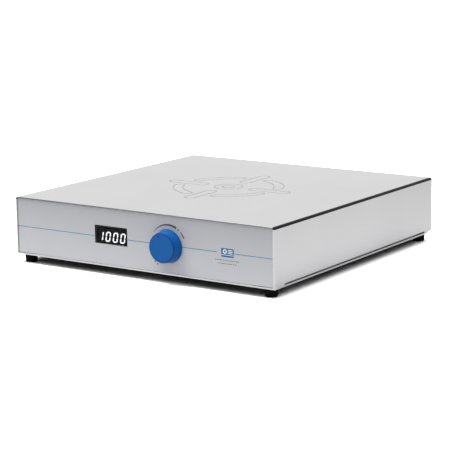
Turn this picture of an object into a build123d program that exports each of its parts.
from build123d import *
import math
import os

# A square bench magnetic stirrer. Millimetres, +Z up, the table at z = 0.
# The front faces -Y. The origin is under the middle of the whole object's box.

# Casing
casing_width = 450.0
casing_depth = 450.0
casing_height = 85.0
foot_height = 13.0
sheet = 1.5
base_thickness = 2.2
side_bend_radius = 3.8
edge_radius = 1.5
panel_recess = 1.2
knob_reach = 16.5
rear_reach = 5.0
fit_gap = 0.05

# Datums that the sizes above give
half_width = casing_width / 2
centre_y = (knob_reach - panel_recess - rear_reach) / 2
front_y = centre_y - casing_depth / 2
rear_y = centre_y + casing_depth / 2
label_y = front_y + panel_recess
base_top = foot_height + base_thickness
lid_top = foot_height + casing_height
ceiling = lid_top - sheet

# Engraved stirring mark on the lid
groove_width = 1.0
groove_depth = 0.35
ring_outer = 83.0
ring_inner = 68.4
ring_gap_angle = 14.0
bar_inner = 38.0
bar_outer = 107.0
bar_width = 17.0
mark_circles = (21.6, 9.3)

# Openings of the hood
front_return = 3.1
front_lip = 1.7
rear_return = 14.0
rear_lip = 10.0
side_slot_height = 2.4
side_slot_inset = 24.0

# Brackets along the hood's side walls
bracket_sheet = 2.0
bracket_half_length = 185.0
bracket_ledge = 6.0
bracket_foot = 12.0
bracket_rise = 5.0
bracket_height = 20.0
bracket_screw_pitch = 150.0

# Base plate
rear_crop = 12.0
foot_inset = 15.0
foot_top_radius = 10.0
foot_bottom_radius = 8.5
foot_screw_seat = 6.0
base_vent_length = 60.0
base_vent_pitch = 10.0
base_vent_first_x = 110.0
base_vent_rows = (centre_y - 95, centre_y + 15)

# Front panel and label
label_thickness = 0.3
panel_thickness = 2.0
panel_gap = 0.35
flange_depth = 15.0
flange_thickness = 2.0
flange_half_width = 190.0
flange_screw_x = 170.0
window_x = -49.4
window_z = foot_height + 44.9
window_size = (57.6, 26.3)
window_ledge = 1.6
lens_thickness = 1.4
panel_front = label_y + label_thickness
panel_back = panel_front + panel_thickness

# LED display, whose digits lean to the right
digit_height = 14.4
digit_width = 8.4
digit_pitch = 13.0
digit_lean = math.radians(10)
segment_width = 1.7
segment_gap = 0.25
digit_x = -49.7
digit_z = foot_height + 42.1
digit_front = label_y + 2.1
segment_depth = 0.3
block_depth = 8.0
board_thickness = 1.6
display_board_size = (72.0, 36.0)

# Speed knob and its potentiometer, about an axis along Y
knob_x = 50.3
knob_z = foot_height + 40.6
knob_base_radius = 24.0
knob_face_radius = 20.8
knob_clearance = 0.8
knob_cavity_depth = 5.5
knob_pointer_angle = 108.0
knob_pointer_radius = 16.9
cap_radius = 18.6
cap_thickness = 1.2
shaft_radius = 3.0
collet_radius = 5.0
bushing_radius = 4.5
bushing_reach = 5.0
pot_radius = 12.0
pot_depth = 10.0

# Rear panel and what it carries
rear_panel_out = rear_y - sheet
rear_panel_in = rear_panel_out - panel_thickness
inlet_x = -150.0
inlet_z = foot_height + 46.0
inlet_flange = 3.0
socket_size = (24.0, 16.0)
socket_depth = 17.0
blade_length = 12.0
blade_pitch = 14.0
inlet_screw_x = 20.0
drawer_half_width = 11.7
drawer_low = -20.2
drawer_high = -11.8
drawer_length = 25.5
fuse_radius = 2.6
switch_x = -95.0
switch_z = foot_height + 44.0
switch_flange = 2.5
rocker_half_width = 8.5
rocker_half_height = 11.3
rocker_tilt = 12.0
rocker_pivot_y = rear_panel_out - 1.5
vent_width = 3.0
vent_height = 26.0
vent_pitch = 9.0

# Stirring drive, about a vertical axis at (0, centre_y)
plate_half = 80.0
plate_low = 60.0
plate_thickness = 3.0
pillar_offset = 70.0
pillar_radius = 6.0
damper_height = 4.0
motor_radius = 45.0
motor_wall = 3.0
motor_low = 19.0
motor_shoulders = (27.0, 52.0)
bearing_radius = 11.0
bearing_width = 7.0
drive_shaft_radius = 4.0
stator_inner = 24.0
tooth_count = 9
rotor_radius = 22.5
hub_radius = 11.0
hub_flange_radius = 28.0
hub_low = 66.0
yoke_low = 78.0
yoke_thickness = 4.0
yoke_length = 150.0
yoke_width = 46.0
carrier_radius = 78.0
carrier_thickness = 10.0
magnet_radius = 20.0
magnet_offset = 50.0
carrier_screw_radius = 20.0

# Power supply and main board
transformer_x = -125.0
transformer_y = centre_y + 120.0
toroid_radius = 50.0
toroid_hole = 18.0
toroid_height = 42.0
transformer_bolt_radius = 4.0
clamp_thickness = 2.8
board_x = (85.0, 200.0)
board_y = (centre_y + 60.0, centre_y + 190.0)
board_low = base_top + 12.0
board_top = board_low + board_thickness
board_inset = 6.0
connector_x = 90.0
lead_level = base_top + 6.0
connector_level = board_top + 6.0

# Screw thread radii
small_thread = 1.5
medium_thread = 2.0
large_thread = 2.5


def block(x, y, z):
    """Box between its limits in x, y and z."""
    size = Box(x[1] - x[0], y[1] - y[0], z[1] - z[0])
    return Pos((x[0] + x[1]) / 2, (y[0] + y[1]) / 2, (z[0] + z[1]) / 2) * size


def rod_z(x, y, z, radius):
    """Upright cylinder between two heights."""
    return Pos(x, y, (z[0] + z[1]) / 2) * Cylinder(radius, z[1] - z[0])


def rod_y(x, y, z, radius):
    """Cylinder along Y between two depths."""
    return Pos(x, (y[0] + y[1]) / 2, z) * Rot(90, 0, 0) * Cylinder(radius, y[1] - y[0])


def rod_x(x, y, z, radius):
    """Cylinder along X between two sides."""
    return Pos((x[0] + x[1]) / 2, y, z) * Rot(0, 90, 0) * Cylinder(radius, x[1] - x[0])


def hexagon(radius, low, high):
    """Upright hexagonal bar, radius to its corners."""
    return Pos(0, 0, low) * extrude(RegularPolygon(radius, 6), high - low)


def on_front(x, z):
    """Frame on the label's face: local z points out of the front and local y points up."""
    return Pos(x, label_y, z) * Rot(90, 0, 0)


def on_rear(x, z):
    """Frame on the rear panel's outer face: local z points out of the back and local y points up."""
    return Pos(x, rear_panel_out, z) * Rot(-90, 0, 180)


def grid(x_values, y_values):
    """Every pair of the given values."""
    return [(x, y) for x in x_values for y in y_values]


def group(solids):
    """Separate solids that share one node."""
    return Compound(list(solids))


def screw(thread, length):
    """Cross-head screw, its head above local z 0 and its shank below."""
    head_radius = 2 * thread
    head_height = 1.2 * thread
    head = Pos(0, 0, head_height / 2) * Cylinder(head_radius, head_height)
    head = fillet(head.edges().sort_by(Axis.Z)[-1], head_height / 2)
    shank = Pos(0, 0, -length / 2) * Cylinder(thread, length)
    slot = Pos(0, 0, head_height) * Box(1.2 * head_radius, 0.4 * thread, head_height)
    return head + shank - slot - Rot(0, 0, 90) * slot


def lead(points, thickness, bend):
    """Round insulated lead along straight runs joined by arcs."""
    route = FilletPolyline(*points, radius=bend)
    start = Plane(origin=points[0], z_dir=Vector(*points[1]) - Vector(*points[0]))
    return sweep(start * Circle(thickness / 2), path=route)


def foot_centres():
    x = half_width - foot_inset
    y = casing_depth / 2 - foot_inset
    return grid((-x, x), (centre_y - y, centre_y + y))


def pillar_centres():
    return grid((-pillar_offset, pillar_offset), (centre_y - pillar_offset, centre_y + pillar_offset))


def bracket_screw_centres():
    """Midway along what the bracket's foot has clear of its upright."""
    x = half_width - sheet - bracket_ledge - (bracket_foot + bracket_sheet) / 2
    return grid((-x, x), (centre_y - bracket_screw_pitch, centre_y, centre_y + bracket_screw_pitch))


def flange_screw_centres():
    front = panel_back + flange_depth / 2
    rear = rear_panel_in - flange_depth / 2
    return grid((-flange_screw_x, 0, flange_screw_x), (front, rear))


def base_screw_centres():
    return pillar_centres() + bracket_screw_centres() + flange_screw_centres()


def cover_screw_centres():
    side = half_width - sheet - rear_return / 2
    top = lid_top - sheet - rear_lip / 2 + 0.5
    low_height = base_top + 18
    high_height = base_top + 58
    return grid((-side, side), (low_height, high_height)) + [(x, top) for x in (-120, 0, 120)]


def board_pillar_centres():
    x_values = (board_x[0] + board_inset, board_x[1] - board_inset)
    y_values = (board_y[0] + board_inset, board_y[1] - board_inset)
    return grid(x_values, y_values)


def display_pillar_centres():
    x_reach = display_board_size[0] / 2 - 3.5
    z_reach = display_board_size[1] / 2 - 3.5
    return grid((window_x - x_reach, window_x + x_reach), (window_z - z_reach, window_z + z_reach))


# Casing ---------------------------------------------------------------------


def slot_outline(outer, inner):
    """Groove that follows an outline, cut down into the lid."""
    flat = Pos(0, centre_y, lid_top - groove_depth) * (outer - inner)
    return extrude(flat, 2 * groove_depth)


def stirring_mark():
    """Four arcs and four bars round two circles, all as fine outlines."""
    middle = (ring_outer + ring_inner) / 2
    width = ring_outer - ring_inner
    end_angle = ring_gap_angle + math.degrees(width / 2 / middle)
    cuts = []
    for quarter in range(4):
        arc = CenterArc((0, 0), middle, 90 * quarter + end_angle, 90 - 2 * end_angle)
        cuts.append(slot_outline(SlotArc(arc, width + groove_width), SlotArc(arc, width - groove_width)))
        bar_place = Rot(0, 0, 90 * quarter) * Pos((bar_inner + bar_outer) / 2, 0)
        length = bar_outer - bar_inner
        outer = bar_place * SlotOverall(length + groove_width, bar_width + groove_width)
        inner = bar_place * SlotOverall(length - groove_width, bar_width - groove_width)
        cuts.append(slot_outline(outer, inner))
    for radius in mark_circles:
        outer = Circle(radius + groove_width / 2)
        inner = Circle(radius - groove_width / 2)
        cuts.append(slot_outline(outer, inner))
    return cuts


def upper_edges(shape, axis):
    """The edges along one axis that lie highest."""
    return shape.edges().filter_by(axis).group_by(Axis.Z)[-1]


def hood_shell():
    """Hood with wide bends along its sides and tighter ones round its front and back, open below."""
    shell = block((-half_width, half_width), (front_y, rear_y), (base_top, lid_top))
    shell = fillet(upper_edges(shell, Axis.Y), side_bend_radius)
    for end in (0, -1):
        outline = shell.faces().filter_by(Axis.Y).sort_by(Axis.Y)[end].edges()
        shell = fillet(outline.sort_by(Axis.Z)[1:], edge_radius)
    inner_half = half_width - sheet
    cavity = block((-inner_half, inner_half), (front_y + sheet, rear_y - sheet), (base_top - 1, ceiling))
    return shell - fillet(upper_edges(cavity, Axis.Y), side_bend_radius - sheet)


def top_cover():
    """Folded stainless hood: lid, side walls, narrow front returns and wider rear returns."""
    hood = hood_shell()
    front_half = half_width - front_return
    front_wall = (front_y - 1, front_y + 2 * sheet)
    hood -= block((-front_half, front_half), front_wall, (base_top - 1, lid_top - front_lip))
    rear_half = half_width - rear_return
    rear_wall = (rear_y - 2 * sheet, rear_y + 1)
    hood -= block((-rear_half, rear_half), rear_wall, (base_top - 1, lid_top - rear_lip))
    slot_y = (front_y + side_slot_inset, rear_y - side_slot_inset)
    slot_z = (base_top - 1, base_top + side_slot_height)
    hood -= block((-half_width - 1, half_width + 1), slot_y, slot_z)
    for x, z in cover_screw_centres():
        hood -= rod_y(x, rear_wall, z, small_thread + fit_gap)
    for groove in stirring_mark():
        hood -= groove
    return hood


def bracket_strip():
    """Stepped strip for the right wall: it stands off the slot, then turns in along the base."""
    wall = half_width - sheet
    y = (centre_y - bracket_half_length, centre_y + bracket_half_length)
    inner = wall - bracket_ledge
    ledge_top = base_top + bracket_rise
    weld = block((wall - bracket_sheet, wall), y, (ledge_top - bracket_sheet, base_top + bracket_height))
    ledge = block((inner - bracket_sheet, wall), y, (ledge_top - bracket_sheet, ledge_top))
    upright = block((inner - bracket_sheet, inner), y, (base_top, ledge_top))
    foot = block((inner - bracket_foot, inner), y, (base_top, base_top + bracket_sheet))
    return weld + ledge + upright + foot


def cover_brackets():
    """Strips spot-welded inside the side walls, which take the base screws."""
    strips = [bracket_strip(), mirror(bracket_strip(), Plane.YZ)]
    for x, y in bracket_screw_centres():
        hole = rod_z(x, y, (base_top - 1, base_top + bracket_sheet + 1), medium_thread + fit_gap)
        strips = [strip - hole for strip in strips]
    return group(strips)


def base_plate():
    """Flat bottom plate with cropped rear corners, vents and screw holes."""
    plate = block((-half_width, half_width), (front_y, rear_y), (foot_height, base_top))
    upright = plate.edges().filter_by(Axis.Z).sort_by(Axis.Y)
    plate = fillet(upright[:2], edge_radius)
    upright = plate.edges().filter_by(Axis.Z).sort_by(Axis.Y)
    plate = chamfer(upright[-2:], rear_crop)
    through = (foot_height - 1, base_top + 1)
    for x, y in base_screw_centres() + foot_centres():
        plate -= rod_z(x, y, through, medium_thread + fit_gap)
    plate -= rod_z(transformer_x, transformer_y, through, transformer_bolt_radius + fit_gap)
    columns = [base_vent_first_x + base_vent_pitch * step for step in range(7)]
    for x, y in grid(columns, base_vent_rows):
        plate -= block((x, x + vent_width), (y - base_vent_length / 2, y + base_vent_length / 2), through)
    return plate


def base_screws():
    """Screws up through the base plate into pillars, brackets and panel flanges."""
    upward = Rot(180, 0, 0) * screw(medium_thread, base_thickness + 6)
    return group(Pos(x, y, foot_height) * upward for x, y in base_screw_centres())


def rubber_feet():
    """Tapered rubber bumpers, hollowed for their screws."""
    foot = Pos(0, 0, foot_height / 2) * Cone(foot_bottom_radius, foot_top_radius, foot_height)
    foot = fillet(foot.edges().sort_by(Axis.Z)[0], 0.8)
    foot -= rod_z(0, 0, (-1, foot_screw_seat), 2 * medium_thread + 0.6)
    foot -= rod_z(0, 0, (foot_screw_seat - 1, foot_height + 1), medium_thread + fit_gap)
    return group(Pos(x, y, 0) * foot for x, y in foot_centres())


def foot_screws():
    """Screw and nut of each foot."""
    bolt = Pos(0, 0, foot_screw_seat) * Rot(180, 0, 0) * screw(medium_thread, 14)
    nut = hexagon(2 * medium_thread, base_top, base_top + 3.2)
    nut -= rod_z(0, 0, (base_top - 1, base_top + 4), medium_thread + fit_gap)
    pieces = []
    for x, y in foot_centres():
        pieces += [Pos(x, y, 0) * bolt, Pos(x, y, 0) * nut]
    return group(pieces)


# Front ----------------------------------------------------------------------


def panel_outline(y):
    """The front opening of the hood, less a gap all round."""
    reach = half_width - front_return - panel_gap
    return block((-reach, reach), y, (base_top + panel_gap, lid_top - front_lip - panel_gap))


def window_opening(margin, y):
    width, height = window_size
    x = (window_x - width / 2 - margin, window_x + width / 2 + margin)
    return block(x, y, (window_z - height / 2 - margin, window_z + height / 2 + margin))


def front_panel():
    """Aluminium front with a stepped window, a bush hole and a foot along its bottom edge."""
    panel = panel_outline((panel_front, panel_back))
    panel -= window_opening(0.1, (label_y, panel_front + lens_thickness - 0.1))
    panel -= window_opening(-window_ledge, (label_y, panel_back + 1))
    flange_x = (-flange_half_width, flange_half_width)
    flange_z = (base_top, base_top + flange_thickness)
    panel += block(flange_x, (panel_front, panel_back + flange_depth), flange_z)
    for x, y in flange_screw_centres():
        panel -= rod_z(x, y, (base_top - 1, base_top + flange_thickness + 1), medium_thread + fit_gap)
    return panel - rod_y(knob_x, (label_y - 1, panel_back + 1), knob_z, bushing_radius + fit_gap)


def front_label():
    """Printed foil over the whole front panel."""
    label = panel_outline((label_y, panel_front))
    label -= window_opening(0, (label_y - 1, panel_back))
    return label - rod_y(knob_x, (label_y - 1, panel_back), knob_z, bushing_radius + fit_gap)


def display_window():
    """Smoked lens that fills the window and rests on the panel's ledge."""
    lens = window_opening(-0.1, (label_y + 0.1, label_y + 0.1 + lens_thickness))
    return chamfer(lens.faces().sort_by(Axis.Y)[0].edges(), 0.2)


def segment(start, end):
    """Pointed bar between two points of a digit, in the digit's own plane."""
    dx = end[0] - start[0]
    dy = end[1] - start[1]
    length = math.hypot(dx, dy)
    along = (dx / length, dy / length)
    half = segment_width / 2
    near = half
    far = length - half
    corners = []
    for reach, across in ((0, 0), (near, half), (far, half), (length, 0), (far, -half), (near, -half)):
        inset = segment_gap if reach < length / 2 else -segment_gap
        x = start[0] + along[0] * (reach + inset) - along[1] * across
        y = start[1] + along[1] * (reach + inset) + along[0] * across
        corners.append((x + math.tan(digit_lean) * y, y))
    return make_face(Polyline(*corners, close=True))


def digit_segments():
    """The seven bars of one digit by their usual letters."""
    right = (digit_width - segment_width) / 2
    top = (digit_height - segment_width) / 2
    return {
        "a": segment((-right, top), (right, top)),
        "b": segment((right, 0), (right, top)),
        "c": segment((right, -top), (right, 0)),
        "d": segment((-right, -top), (right, -top)),
        "e": segment((-right, -top), (-right, 0)),
        "f": segment((-right, 0), (-right, top)),
        "g": segment((-right, 0), (right, 0)),
    }


def placed_segments(lit):
    """Bars that show 1000, or the bars that stay dark, raised off the display block."""
    bars = []
    for place, shown in enumerate(("bc", "abcdef", "abcdef", "abcdef")):
        x = digit_x + (place - 1.5) * digit_pitch
        frame = on_front(x, digit_z) * Pos(0, 0, label_y - digit_front - segment_depth)
        for letter, face in digit_segments().items():
            if (letter in shown) == lit:
                bars.append(frame * extrude(face, segment_depth))
    return bars


def display_block():
    """Black four-digit LED block with a shallow recess at each dark bar."""
    low = digit_front + segment_depth
    width = 4 * digit_pitch
    body = block(
        (digit_x - width / 2, digit_x + width / 2),
        (low, low + block_depth),
        (digit_z - 9.5, digit_z + 9.5),
    )
    for bar in placed_segments(False):
        body -= Pos(0, 0.5 * segment_depth, 0) * bar
    return body


def display_board_y():
    """Front and back of the display board, which stands behind the LED block."""
    front = digit_front + segment_depth + block_depth
    return (front, front + board_thickness)


def display_board():
    """Display board and, on its back, the socket for the leads."""
    width, height = display_board_size
    x = (window_x - width / 2, window_x + width / 2)
    board = block(x, display_board_y(), (window_z - height / 2, window_z + height / 2))
    back = display_board_y()[1]
    board += block((window_x - 12, window_x + 20), (back, back + 7), (window_z - 9, window_z + 3))
    for px, pz in display_pillar_centres():
        board -= rod_y(px, (panel_back, back + 1), pz, small_thread + fit_gap)
    return board


def speed_knob():
    """Tapered knob, hollow at the back, with a seat for its cap and a bore for the collet."""
    height = knob_reach - knob_clearance
    knob = Pos(0, 0, knob_clearance + height / 2) * Cone(knob_base_radius, knob_face_radius, height)
    knob = fillet(knob.edges().sort_by(Axis.Z)[-1], 0.9)
    knob -= rod_z(0, 0, (0, knob_cavity_depth), knob_base_radius - 3)
    knob -= rod_z(0, 0, (0, knob_reach - 3), collet_radius)
    knob -= rod_z(0, 0, (knob_reach - cap_thickness, knob_reach + 1), cap_radius)
    return on_front(knob_x, knob_z) * knob


def knob_cap():
    """Thin disc in the knob's face, with a dimple as its pointer."""
    cap = rod_z(0, 0, (knob_reach - cap_thickness, knob_reach - 0.15), cap_radius - fit_gap)
    angle = math.radians(knob_pointer_angle)
    dimple_x = knob_pointer_radius * math.cos(angle)
    dimple_y = knob_pointer_radius * math.sin(angle)
    cap -= rod_z(dimple_x, dimple_y, (knob_reach - 0.45, knob_reach), 1.1)
    return on_front(knob_x, knob_z) * cap


def knob_collet():
    """Slotted brass collet that grips the potentiometer shaft."""
    low = knob_cavity_depth + 0.2
    high = knob_reach - 3
    collet = rod_z(0, 0, (low, high), collet_radius - 0.02)
    collet -= rod_z(0, 0, (low - 1, high + 1), shaft_radius + 0.02)
    slot = block((0, collet_radius + 1), (-0.4, 0.4), (low - 1, high - 2))
    for turn in (0, 120, 240):
        collet -= Rot(0, 0, turn) * slot
    return on_front(knob_x, knob_z) * collet


def pot_shaft():
    """Shaft from inside the potentiometer to the collet, with the wiper disc on its end."""
    wiper = -(label_thickness + panel_thickness + 4.5)
    shaft = rod_z(0, 0, (wiper, knob_reach - 3.5), shaft_radius)
    shaft += rod_z(0, 0, (wiper - 1.5, wiper), 8.0)
    return on_front(knob_x, knob_z) * shaft


def pot_body():
    """Round potentiometer can with three solder tags."""
    back_of_panel = -(label_thickness + panel_thickness)
    can = rod_z(0, 0, (back_of_panel - pot_depth, back_of_panel), pot_radius)
    can -= rod_z(0, 0, (back_of_panel - pot_depth + 1.5, back_of_panel - 2.5), 9.0)
    can -= rod_z(0, 0, (back_of_panel - 5, back_of_panel + 1), shaft_radius + fit_gap)
    tag_depth = (back_of_panel - 6, back_of_panel - 5.2)
    for step in (-5, 0, 5):
        can += block((step - 1, step + 1), (-pot_radius - 5, -pot_radius + 2), tag_depth)
    return on_front(knob_x, knob_z) * can


def pot_bushing():
    """Threaded sleeve through the panel."""
    low = -(label_thickness + panel_thickness)
    sleeve = rod_z(0, 0, (low, bushing_reach), bushing_radius)
    sleeve -= rod_z(0, 0, (low - 1, bushing_reach + 1), shaft_radius + fit_gap)
    return on_front(knob_x, knob_z) * sleeve


def pot_nut():
    """Hexagon nut and washer under the knob."""
    nut = hexagon(7.0, 0.6, 2.8) + rod_z(0, 0, (0, 0.6), 7.5)
    return on_front(knob_x, knob_z) * (nut - rod_z(0, 0, (-1, 4), bushing_radius + fit_gap))


# Rear -----------------------------------------------------------------------


def rear_panel():
    """Aluminium back panel behind the hood's returns, with vents and a foot."""
    reach = half_width - sheet - 0.5
    panel = block((-reach, reach), (rear_panel_in, rear_panel_out), (base_top, ceiling - 0.5))
    panel = fillet(upper_edges(panel, Axis.Y), side_bend_radius)
    flange_x = (-flange_half_width, flange_half_width)
    flange_z = (base_top, base_top + flange_thickness)
    panel += block(flange_x, (rear_panel_in - flange_depth, rear_panel_in), flange_z)
    for x, y in flange_screw_centres():
        panel -= rod_z(x, y, (base_top - 1, base_top + flange_thickness + 1), medium_thread + fit_gap)
    for x, z in cover_screw_centres():
        panel -= rod_y(x, (rear_panel_in - 1, rear_panel_out + 1), z, small_thread + fit_gap)
    for side in (-1, 1):
        hole_x = inlet_x + side * inlet_screw_x
        panel -= rod_y(hole_x, (rear_panel_in - 1, rear_panel_out + 1), inlet_z - 4, small_thread + fit_gap)
    through = (rear_panel_in - 1, rear_panel_out + 1)
    panel -= block((inlet_x - 14.4, inlet_x + 14.4), through, (inlet_z - 22.1, inlet_z + 10.6))
    panel -= block((switch_x - 10.6, switch_x + 10.6), through, (switch_z - 14.6, switch_z + 14.6))
    for row, step in grid((32, 66), range(18)):
        x = 30 + vent_pitch * step
        z = foot_height + row - vent_height / 2
        panel -= block((x, x + vent_width), through, (z - 6, z + vent_height - 6))
    return panel


def cover_screws():
    """Screws that hold the hood's rear returns to the back panel."""
    outward = Rot(-90, 0, 0) * screw(small_thread, 6)
    return group(Pos(x, rear_y, z) * outward for x, z in cover_screw_centres())


def socket_cavity():
    """Recess for the mains connector, with two cropped upper corners, in the rear frame."""
    width, height = socket_size
    cavity = Pos(0, 0, inlet_flange - socket_depth / 2 + 0.5) * Box(width, height, socket_depth + 1)
    upper = cavity.edges().filter_by(Axis.Z).sort_by(Axis.Y)[-2:]
    return chamfer(upper, 4.5)


def inlet_body():
    """Mains inlet: flange, socket recess and the chute of the fuse drawer below it."""
    body = block((-14.3, 14.3), (-22, 10.5), (-28, 0)) + block((-25, 25), (-24, 14), (0, inlet_flange))
    body = fillet(body.edges().filter_by(Axis.Z).group_by(Axis.Z)[-1], 3)
    body -= socket_cavity()
    chute = (-drawer_half_width - 0.2, drawer_half_width + 0.2)
    depth = inlet_flange - drawer_length - 0.5
    body -= block(chute, (drawer_low - 0.2, drawer_high + 0.2), (depth, inlet_flange + 1))
    for side in (-1, 1):
        body -= rod_z(side * inlet_screw_x, -4, (-1, inlet_flange + 1), small_thread + fit_gap)
    for x, y in blade_places():
        body -= block((x - 1, x + 1), (y - 2, y + 2), (-40, 0))
    return on_rear(inlet_x, inlet_z) * body


def blade_places():
    """Outer two contacts on the socket's middle line, earth above them."""
    return [(-blade_pitch / 2, 0), (0, 4), (blade_pitch / 2, 0)]


def contact_blades():
    """Inlet blades with their rear tabs, and the tabs of the power switch."""
    depth = (-36, inlet_flange - socket_depth + blade_length)
    blades = [
        on_rear(inlet_x, inlet_z) * block((x - 0.98, x + 0.98), (y - 1.98, y + 1.98), depth)
        for x, y in blade_places()
    ]
    for x, y in grid((-5, 5), (-7, 7)):
        tab = block((x - 0.4, x + 0.4), (y - 3, y + 3), (-34, -24))
        blades.append(on_rear(switch_x, switch_z) * tab)
    return group(blades)


def inlet_screws():
    fastener = Pos(0, 0, inlet_flange) * screw(small_thread, inlet_flange + 6)
    return group(on_rear(inlet_x + side * inlet_screw_x, inlet_z - 4) * fastener for side in (-1, 1))


def fuse_places():
    """Depths of the two fuses in the drawer, in the rear frame."""
    return (inlet_flange - 7, inlet_flange - 16)


def fuse_drawer():
    """Drawer with two fuse pockets and a lipped pull."""
    half = drawer_half_width
    face = inlet_flange
    tray = block((-half, half), (drawer_low, drawer_high), (face - drawer_length, face + 0.1))
    for depth in fuse_places():
        tray -= block((-10.2, 10.2), (drawer_low + 1.4, drawer_high + 1), (depth - 3, depth + 3))
    reach = rear_y + rear_reach - rear_panel_out
    pull = block((-half - 0.8, half + 0.8), (drawer_low - 0.8, drawer_high + 0.8), (face + 0.1, reach))
    pull -= block((-5, 5), (drawer_high - 2, drawer_high + 2), (face + 1, reach + 1))
    return on_rear(inlet_x, inlet_z) * (tray + pull)


def fuses():
    """Two glass fuses with raised end caps."""
    height = drawer_low + 1.45 + fuse_radius
    pieces = []
    for depth in fuse_places():
        fuse = rod_x((-9.9, 9.9), height, depth, fuse_radius - 0.2)
        for x in ((-9.9, -4.9), (4.9, 9.9)):
            fuse += rod_x(x, height, depth, fuse_radius)
        pieces.append(on_rear(inlet_x, inlet_z) * fuse)
    return group(pieces)


def switch_frame():
    """Rocker switch body and flange, with round seats for the rocker's pivots."""
    frame = block((-10.5, 10.5), (-14.5, 14.5), (-24, 0))
    frame += block((-12.5, 12.5), (-16.5, 16.5), (0, switch_flange))
    frame = fillet(frame.edges().filter_by(Axis.Z).group_by(Axis.Z)[-1], 1.5)
    inner = rocker_half_width + 0.3
    frame -= block((-inner, inner), (-13.2, 13.2), (-14, switch_flange + 1))
    pivot = rocker_pivot_y - rear_panel_out
    frame -= rod_x((-9.9, 9.9), 0, pivot, 1.5 + fit_gap)
    return on_rear(switch_x, switch_z) * frame


def power_rocker():
    """Rocker at its on tilt: a shallow V face over two pivots."""
    reach = rocker_half_height
    profile = Polyline(
        (reach + 0.3, 1.2), (reach, 5.6), (0, 3.0), (-reach, 5.6), (-reach - 0.3, 1.2), (-5, -5), (5, -5),
        close=True,
    )
    face = Plane.YZ * make_face(profile)
    rocker = extrude(face, rocker_half_width, both=True) + rod_x((-9.8, 9.8), 0, 0, 1.5)
    pivot = rocker_pivot_y - rear_panel_out
    return on_rear(switch_x, switch_z) * Pos(0, 0, pivot) * Rot(-rocker_tilt, 0, 0) * rocker


def earth_stud():
    """Earth bolt on the base plate with two nuts."""
    stud = rod_z(-200, centre_y + 150, (base_top, base_top + 18), large_thread)
    for low in (base_top, base_top + 8):
        stud += Pos(-200, centre_y + 150, 0) * hexagon(4.6, low, low + 4)
    return stud


# Stirring drive -------------------------------------------------------------


def on_drive(shape):
    """Places a shape that was made about the drive's axis."""
    return Pos(0, centre_y, 0) * shape


def motor_bolt_places():
    reach = 35 / math.sqrt(2)
    return grid((-reach, reach), (-reach, reach))


def motor_plate():
    """Steel plate that carries the motor between four dampers."""
    side = (-plate_half, plate_half)
    plate = block(side, side, (plate_low, plate_low + plate_thickness))
    plate = fillet(plate.edges().filter_by(Axis.Z), 12)
    through = (plate_low - 1, plate_low + plate_thickness + 1)
    plate -= rod_z(0, 0, through, 13)
    for x, y in motor_bolt_places():
        plate -= rod_z(x, y, through, medium_thread + fit_gap)
    for x, y in grid((-pillar_offset, pillar_offset), (-pillar_offset, pillar_offset)):
        plate -= rod_z(x, y, through, large_thread + fit_gap)
    for turn in range(4):
        plate -= Rot(0, 0, 90 * turn) * Pos(0, 62, plate_low) * Box(70, 14, 4 * plate_thickness)
    return on_drive(plate)


def motor_pillars():
    """Round pillars on the base plate, tapped at both ends."""
    top = plate_low - damper_height
    pillar = rod_z(0, 0, (base_top, top), pillar_radius)
    pillar -= rod_z(0, 0, (base_top - 1, base_top + 8), medium_thread + fit_gap)
    pillar -= rod_z(0, 0, (top - 14, top + 1), large_thread + fit_gap)
    return group(Pos(x, y, 0) * pillar for x, y in pillar_centres())


def motor_dampers():
    """Rubber rings between the pillars and the motor plate."""
    ring = rod_z(0, 0, (plate_low - damper_height, plate_low), 8)
    ring = fillet(ring.edges(), 1)
    ring -= rod_z(0, 0, (plate_low - damper_height - 1, plate_low + 1), large_thread + fit_gap)
    return group(Pos(x, y, 0) * ring for x, y in pillar_centres())


def damper_screws():
    bolt = Pos(0, 0, plate_low + plate_thickness) * screw(large_thread, 18)
    return group(Pos(x, y, 0) * bolt for x, y in pillar_centres())


def motor_housing():
    """Finned tube round the stator."""
    low, high = motor_shoulders
    tube = rod_z(0, 0, (low, high), motor_radius)
    fin = block((motor_radius - 1, motor_radius + 3), (-1, 1), (low + 1, high - 1))
    for turn in range(24):
        tube += Rot(0, 0, 15 * turn) * fin
    return on_drive(tube - rod_z(0, 0, (low - 1, high + 1), motor_radius - motor_wall))


def motor_top_cover():
    """Upper end cover with its bearing seat, bolted under the motor plate."""
    low = motor_shoulders[1]
    cover = rod_z(0, 0, (low, plate_low), motor_radius)
    cover -= rod_z(0, 0, (low - 1, low + bearing_width + 0.2), bearing_radius + 0.01)
    cover -= rod_z(0, 0, (low, plate_low + 1), drive_shaft_radius + 2)
    for x, y in motor_bolt_places():
        cover -= rod_z(x, y, (low + 1, plate_low + 1), medium_thread + fit_gap)
    return on_drive(cover)


def motor_bottom_cover():
    """Lower end cover with its bearing seat."""
    high = motor_shoulders[0]
    cover = rod_z(0, 0, (motor_low, high), motor_radius)
    cover = fillet(cover.edges().sort_by(Axis.Z)[0], 2)
    return on_drive(cover - rod_z(0, 0, (high - bearing_width, high + 1), bearing_radius + 0.01))


def motor_bolts():
    bolt = Pos(0, 0, plate_low + plate_thickness) * screw(medium_thread, 9)
    return group(on_drive(Pos(x, y, 0) * bolt) for x, y in motor_bolt_places())


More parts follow.
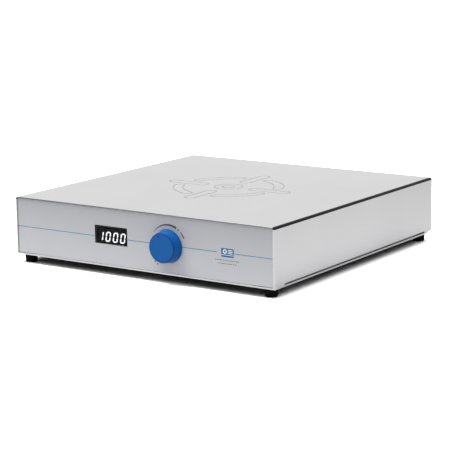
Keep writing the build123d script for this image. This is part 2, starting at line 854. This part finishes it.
def bearings():
    """Two ball bearings, each drawn as one grooved ring."""
    ring = rod_z(0, 0, (0, bearing_width), bearing_radius)
    ring -= rod_z(0, 0, (-1, bearing_width + 1), drive_shaft_radius + fit_gap)
    for height in (0, bearing_width):
        shield = rod_z(0, 0, (height - 0.4, height + 0.4), 9.0)
        ring -= shield - rod_z(0, 0, (height - 1, height + 1), 6.2)
    lower = motor_shoulders[0] - bearing_width
    upper = motor_shoulders[1]
    return group(on_drive(Pos(0, 0, low) * ring) for low in (lower, upper))


def stator_core():
    """Laminated ring with inward teeth."""
    low, high = (motor_shoulders[0] + 5, motor_shoulders[1] - 5)
    outer = motor_radius - motor_wall
    core = rod_z(0, 0, (low, high), outer) - rod_z(0, 0, (low - 1, high + 1), outer - 7)
    for turn in range(tooth_count):
        place = Rot(0, 0, 360 / tooth_count * turn)
        core += place * block((stator_inner + 2, outer - 6), (-3, 3), (low, high))
        core += place * block((stator_inner + 0.5, stator_inner + 2.5), (-6, 6), (low, high))
    return on_drive(core - rod_z(0, 0, (low - 1, high + 1), stator_inner))


def stator_coils():
    """Copper coil round each stator tooth."""
    low, high = (motor_shoulders[0] + 2.5, motor_shoulders[1] - 2.5)
    coil = block((stator_inner + 3, stator_inner + 9.5), (-4.8, 4.8), (low, high))
    coil = fillet(coil.edges().filter_by(Axis.X), 1.8)
    coil -= block((stator_inner, stator_inner + 12), (-3.1, 3.1), (low + 2.4, high - 2.4))
    return group(on_drive(Rot(0, 0, 360 / tooth_count * turn) * coil) for turn in range(tooth_count))


def rotor():
    """Magnet rotor on the drive shaft."""
    low, high = (motor_shoulders[0] + 4, motor_shoulders[1] - 4)
    body = fillet(rod_z(0, 0, (low, high), rotor_radius).edges(), 0.6)
    for turn in range(4):
        body -= Rot(0, 0, 45 + 90 * turn) * rod_z(13, 0, (low - 1, high + 1), 3)
    return on_drive(body - rod_z(0, 0, (low - 1, high + 1), drive_shaft_radius))


def motor_shaft():
    """Drive shaft from the lower bearing up to the magnet hub."""
    low = motor_shoulders[0] - bearing_width + 0.3
    shaft = rod_z(0, 0, (low, yoke_low), drive_shaft_radius)
    return on_drive(chamfer(shaft.edges().sort_by(Axis.Z)[0], 0.5))


def carrier_screw_places():
    reach = carrier_screw_radius
    return [(reach, 0), (-reach, 0), (0, reach), (0, -reach)]


def magnet_hub():
    """Flanged hub clamped on the shaft by two set screws."""
    hub = rod_z(0, 0, (hub_low, yoke_low), hub_radius)
    hub += rod_z(0, 0, (yoke_low - 4, yoke_low), hub_flange_radius)
    for x, y in carrier_screw_places():
        hub -= rod_z(x, y, (hub_low, yoke_low + 1), medium_thread + fit_gap)
    hub -= rod_x((-hub_radius - 1, hub_radius + 1), 0, hub_low + 4, medium_thread + fit_gap)
    return on_drive(hub - rod_z(0, 0, (hub_low - 1, yoke_low + 1), drive_shaft_radius))


def yoke_plate():
    """Steel bar that joins the backs of the two magnets."""
    bar = Pos(0, 0, yoke_low) * extrude(SlotOverall(yoke_length, yoke_width), yoke_thickness)
    for x, y in carrier_screw_places():
        bar -= rod_z(x, y, (yoke_low - 1, yoke_low + yoke_thickness + 1), medium_thread + fit_gap)
    return on_drive(bar)


def magnet_places():
    return ((-magnet_offset, 0), (magnet_offset, 0))


def magnet_carrier():
    """Aluminium disc that holds the magnets in two round pockets."""
    low = yoke_low + yoke_thickness
    high = low + carrier_thickness
    disc = fillet(rod_z(0, 0, (low, high), carrier_radius).edges(), 1)
    for x, y in magnet_places():
        disc -= rod_z(x, y, (low - 1, high + 1), magnet_radius)
    for x, y in carrier_screw_places():
        disc -= rod_z(x, y, (low - 1, high + 1), medium_thread + fit_gap)
        disc -= rod_z(x, y, (high - 3, high + 1), 2 * medium_thread + 0.2)
    for side in (-1, 1):
        disc -= rod_z(0, side * 52, (low - 1, high + 1), 15)
    return on_drive(disc)


def drive_magnets():
    """Two disc magnets that pull the stirring bar round."""
    low = yoke_low + yoke_thickness
    disc = rod_z(0, 0, (low, low + carrier_thickness), magnet_radius - 0.02)
    disc = chamfer(disc.edges(), 0.6)
    return group(on_drive(Pos(x, y, 0) * disc) for x, y in magnet_places())


def carrier_screws():
    """Four screws down through carrier and yoke into the hub, and the hub's two set screws."""
    high = yoke_low + yoke_thickness + carrier_thickness
    bolt = Pos(0, 0, high - 3) * screw(medium_thread, 14)
    pieces = [on_drive(Pos(x, y, 0) * bolt) for x, y in carrier_screw_places()]
    for side in (-1, 1):
        x = sorted((side * (drive_shaft_radius + 0.05), side * (hub_radius - 0.5)))
        pieces.append(on_drive(rod_x(x, 0, hub_low + 4, medium_thread)))
    return group(pieces)


def speed_sensor():
    """Pick-up on the motor plate that counts turns of the hub's flange."""
    low = plate_low + plate_thickness
    sensor = block((17, 29), (-7, 7), (low, low + 1.6)) + block((19, 25), (-3, 3), (low, low + 9.4))
    return on_drive(fillet(sensor.edges().group_by(Axis.Z)[-1], 0.6))


# Electronics ----------------------------------------------------------------


def main_board():
    """Control and power board."""
    board = block(board_x, board_y, (board_low, board_top))
    for x, y in board_pillar_centres():
        board -= rod_z(x, y, (board_low - 1, board_top + 1), small_thread + fit_gap)
    return board


def board_pillars():
    """Hexagonal spacers of the main board and of the display board."""
    upright = hexagon(3.2, base_top, board_low)
    upright -= rod_z(0, 0, (board_low - 8, board_low + 1), small_thread + fit_gap)
    pieces = [Pos(x, y, 0) * upright for x, y in board_pillar_centres()]
    length = display_board_y()[0] - panel_back
    spacer = hexagon(3.2, 0, length) - rod_z(0, 0, (-1, length + 1), small_thread + fit_gap)
    for x, z in display_pillar_centres():
        pieces.append(Pos(x, panel_back, z) * Rot(-90, 0, 0) * spacer)
    return group(pieces)


def board_screws():
    """Screws of the main board and of the display board."""
    bolt = screw(small_thread, 6)
    pieces = [Pos(x, y, board_top) * bolt for x, y in board_pillar_centres()]
    for x, z in display_pillar_centres():
        pieces.append(Pos(x, display_board_y()[1], z) * Rot(-90, 0, 0) * bolt)
    return group(pieces)


def connector_places():
    """Y of each lead socket along the main board's left edge."""
    return (centre_y + 100, centre_y + 130, centre_y + 166)


def board_parts():
    """Sockets, relays and chips on the main board."""
    top = board_top
    parts = []
    for y in connector_places():
        parts.append(block((connector_x, connector_x + 12), (y - 7, y + 7), (top, top + 11)))
    front_socket = (board_y[0] + 5, board_y[0] + 15)
    parts.append(block((122, 142), front_socket, (top, top + 11)))
    for step in range(3):
        x = 112 + 20 * step
        parts.append(block((x, x + 15), (board_y[1] - 35, board_y[1] - 14), (top, top + 15)))
    for x, y, width, depth in ((115, 30, 22, 22), (148, 34, 14, 10), (148, 50, 14, 10), (116, 60, 12, 8)):
        low_y = board_y[0] + y
        chip = block((x, x + width), (low_y, low_y + depth), (top, top + 2.4))
        parts.append(chamfer(chip.faces().sort_by(Axis.Z)[-1].edges(), 0.3))
    return group(parts)


def capacitors():
    """Upright electrolytic capacitors."""
    can = fillet(rod_z(0, 0, (board_top, board_top + 30), 9).edges().sort_by(Axis.Z)[-1], 1.2)
    small = fillet(rod_z(0, 0, (board_top, board_top + 14), 5).edges().sort_by(Axis.Z)[-1], 0.8)
    pieces = [Pos(185, board_y[0] + 20 + 21 * step, 0) * can for step in range(2)]
    pieces += [Pos(168 - 13 * step, board_y[0] + 18, 0) * small for step in range(2)]
    return group(pieces)


def heat_sink():
    """Finned aluminium block on the main board."""
    low_y = board_y[0] + 62
    sink = block((170, 196), (low_y, low_y + 45), (board_top, board_top + 5))
    for step in range(7):
        x = 170 + 4 * step
        sink += block((x, x + 2), (low_y, low_y + 45), (board_top, board_top + 28))
    return sink


def transformer_coil():
    """Toroidal transformer."""
    ring_width = toroid_radius - toroid_hole
    section = RectangleRounded(ring_width, toroid_height, 9)
    place = Plane.XZ * Pos((toroid_radius + toroid_hole) / 2, base_top + toroid_height / 2)
    ring = revolve(place * section, Axis.Z)
    return Pos(transformer_x, transformer_y, 0) * ring


def transformer_clamp():
    """Dished steel disc that holds the transformer down."""
    low = base_top + toroid_height
    disc = rod_z(0, 0, (low, low + clamp_thickness), 38)
    disc = fillet(disc.edges().sort_by(Axis.Z)[-1], 1.2)
    disc += rod_z(0, 0, (low - 8, low), toroid_hole - 2)
    disc -= rod_z(0, 0, (low - 4, low + clamp_thickness + 1), toroid_hole - 5)
    disc -= rod_z(0, 0, (low - 9, low + 1), transformer_bolt_radius + fit_gap)
    return Pos(transformer_x, transformer_y, 0) * disc


def transformer_bolt():
    """Bolt up through the base plate, with its nut in the clamp."""
    seat = base_top + toroid_height - 4
    bolt = rod_z(0, 0, (foot_height, seat + 10), transformer_bolt_radius)
    bolt += hexagon(7.5, foot_height - 5, foot_height) + hexagon(7.5, seat, seat + 6.5)
    return Pos(transformer_x, transformer_y, 0) * bolt


def mains_leads():
    """Leads from inlet to switch, from switch to board and from transformer to board."""
    tab_y = rear_panel_out - 36
    turn_y = tab_y - 8
    inlet_tab = inlet_x + blade_pitch / 2
    switch_tab_y = rear_panel_out - 34
    to_switch = [
        (inlet_tab, tab_y, inlet_z),
        (inlet_tab, turn_y, inlet_z),
        (switch_x - 5, turn_y, switch_z + 7),
        (switch_x - 5, switch_tab_y, switch_z + 7),
    ]
    middle, far = connector_places()[1:]
    to_board = [
        (switch_x + 5, switch_tab_y, switch_z - 7),
        (switch_x + 5, turn_y, switch_z - 7),
        (switch_x + 5, turn_y, lead_level),
        (board_x[0] - 6, far, lead_level),
        (board_x[0] - 6, far, connector_level),
        (connector_x, far, connector_level),
    ]
    coil_side = transformer_x + toroid_radius
    from_coil = [
        (coil_side, transformer_y, base_top + toroid_height / 2),
        (coil_side + 12, transformer_y, base_top + toroid_height / 2),
        (coil_side + 12, transformer_y, lead_level),
        (board_x[0] - 6, middle, lead_level),
        (board_x[0] - 6, middle, connector_level),
        (connector_x, middle, connector_level),
    ]
    return group(lead(route, 2.6, 3.5) for route in (to_switch, to_board, from_coil))


def motor_lead():
    """Lead from the motor to the main board."""
    start = motor_radius + 3
    near = connector_places()[0]
    height = sum(motor_shoulders) / 2
    return lead(
        [
            (start, centre_y, height),
            (start + 11, centre_y, height),
            (start + 11, centre_y, lead_level),
            (start + 11, near, lead_level),
            (board_x[0] - 6, near, lead_level),
            (board_x[0] - 6, near, connector_level),
            (connector_x, near, connector_level),
        ],
        3.2,
        4.0,
    )


def display_cable():
    """Cable from the display board to the main board, and the lead to the potentiometer."""
    back = display_board_y()[1] + 7
    away = back + 14
    cable = lead(
        [
            (window_x, back, window_z - 3),
            (window_x, away, window_z - 3),
            (window_x, away, lead_level),
            (132, away, lead_level),
            (132, board_y[0] - 8, lead_level),
            (132, board_y[0] - 8, connector_level),
            (132, board_y[0] + 5, connector_level),
        ],
        5.0,
        5.5,
    )
    pot_back = panel_back + pot_depth
    pot_wire = lead(
        [
            (knob_x, pot_back, knob_z),
            (knob_x, pot_back + 3.5, knob_z),
            (window_x + 20, pot_back + 3.5, knob_z),
        ],
        1.8,
        3.0,
    )
    return group([cable, pot_wire])


PIECES = (
    top_cover, cover_brackets, base_plate, base_screws, rubber_feet, foot_screws,
    front_panel, front_label, display_window, display_block, display_board,
    speed_knob, knob_cap, knob_collet, pot_shaft, pot_body, pot_bushing, pot_nut,
    rear_panel, cover_screws, inlet_body, contact_blades, inlet_screws, fuse_drawer, fuses,
    switch_frame, power_rocker, earth_stud,
    motor_plate, motor_pillars, motor_dampers, damper_screws, motor_housing, motor_top_cover,
    motor_bottom_cover, motor_bolts, bearings, stator_core, stator_coils, rotor, motor_shaft,
    magnet_hub, yoke_plate, magnet_carrier, drive_magnets, carrier_screws, speed_sensor,
    main_board, board_pillars, board_screws, board_parts, capacitors, heat_sink,
    transformer_coil, transformer_clamp, transformer_bolt,
    mains_leads, motor_lead, display_cable,
)


def build():
    os.makedirs("parts", exist_ok=True)
    for piece in PIECES:
        export_step(piece(), f"parts/{piece.__name__}.step")
    export_step(group(placed_segments(True)), "parts/display_digits.step")


build()
